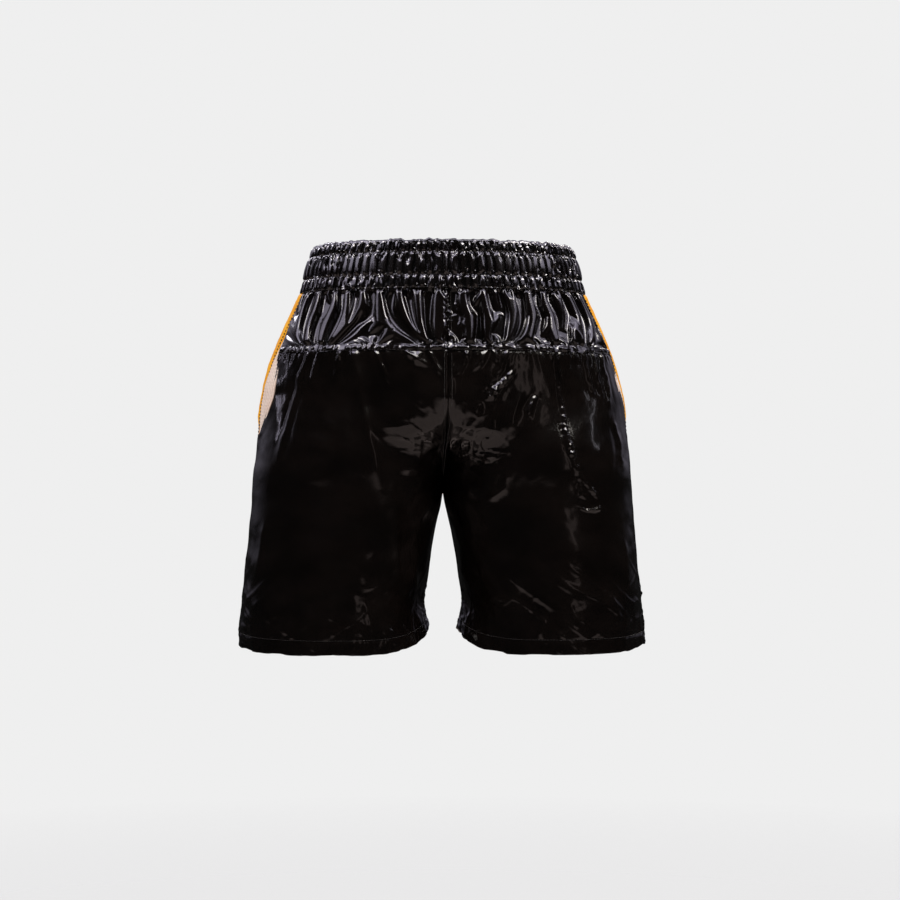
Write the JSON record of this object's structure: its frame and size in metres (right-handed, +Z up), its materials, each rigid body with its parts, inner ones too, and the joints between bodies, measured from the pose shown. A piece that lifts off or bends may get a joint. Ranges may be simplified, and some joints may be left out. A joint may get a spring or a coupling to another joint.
{
  "type": "boxing shorts",
  "caption": "Loose glossy boxing shorts with a gathered elastic waistband, hip yokes, trimmed mesh side inserts, side vents, hemmed legs and a drawcord.",
  "frame": {"origin": "on the ground plane level with the lowest point of the leg hems, below the middle of the garment's bounding box", "axes": "+Z up through the waist opening, -Y to the wearer's front, +X to the wearer's left"},
  "size_m": [0.4608, 0.2473, 0.46],
  "materials": {
    "satin_black": "wet-look black satin, very glossy, crinkled",
    "gold_satin": "gold satin binding",
    "rib_mesh": "off-white ribbed mesh knit, matte",
    "elastic_webbing": "woven elastic webbing",
    "braided_cord": "braided polyester cord, matte",
    "eyelet_metal": "dark nickel plate",
    "label_tape": "white satin tape, blank",
    "sewing_thread": "black polyester thread"
  },
  "bodies": {
    "waist": {"waistband_casing_back": "satin_black", "waistband_casing_front": "satin_black", "elastic_main": "elastic_webbing", "elastic_header": "elastic_webbing", "drawcord": "braided_cord", "eyelet_left": "eyelet_metal", "eyelet_right": "eyelet_metal", "eyelet_washer_left": "eyelet_metal", "eyelet_washer_right": "eyelet_metal", "back_yoke_left": "satin_black", "back_yoke_right": "satin_black", "front_yoke_left": "satin_black", "front_yoke_right": "satin_black"},
    "label": {"care_label": "label_tape"},
    "left_leg": {"back_leg_panel_left": "satin_black", "front_leg_panel_left": "satin_black", "side_mesh_insert_left": "rib_mesh", "gold_trim_band_left": "gold_satin", "back_hem_band_left": "satin_black", "front_hem_band_left": "satin_black", "vent_bar_tack_left": "sewing_thread"},
    "right_leg": {"back_leg_panel_right": "satin_black", "front_leg_panel_right": "satin_black", "side_mesh_insert_right": "rib_mesh", "gold_trim_band_right": "gold_satin", "back_hem_band_right": "satin_black", "front_hem_band_right": "satin_black", "vent_bar_tack_right": "sewing_thread"},
    "cord_left": {"drawcord_end_left": "braided_cord", "drawcord_tip_left": "eyelet_metal"},
    "cord_right": {"drawcord_end_right": "braided_cord", "drawcord_tip_right": "eyelet_metal"}
  },
  "joints": [
    {"name": "left_leg_swing", "type": "hinge", "parent": "waist", "child": "left_leg", "pos_m": [0.1, -0.00112, 0.25], "axis": [-1, 0, 0], "range_deg": [-5, 35], "stiffness_Nm_per_rad": 0.5},
    {"name": "right_leg_swing", "type": "hinge", "parent": "waist", "child": "right_leg", "pos_m": [-0.1, -0.00112, 0.25], "axis": [-1, 0, 0], "range_deg": [-5, 35], "stiffness_Nm_per_rad": 0.5},
    {"name": "cord_left_pull", "type": "slide", "parent": "waist", "child": "cord_left", "axis": [0, 0, -1], "range_m": [-0.03, 0.03], "stiffness_N_per_m": 20},
    {"name": "cord_right_pull", "type": "slide", "parent": "waist", "child": "cord_right", "axis": [0, 0, -1], "range_m": [-0.03, 0.03], "stiffness_N_per_m": 20},
    {"name": "label_flip", "type": "hinge", "parent": "waist", "child": "label", "pos_m": [0, 0.09657, 0.452], "axis": [-1, 0, 0], "range_deg": [0, 75]}
  ],
  "couplings": [
    {"joint": "cord_right_pull", "follows": "cord_left_pull", "ratio": -1}
  ]
}
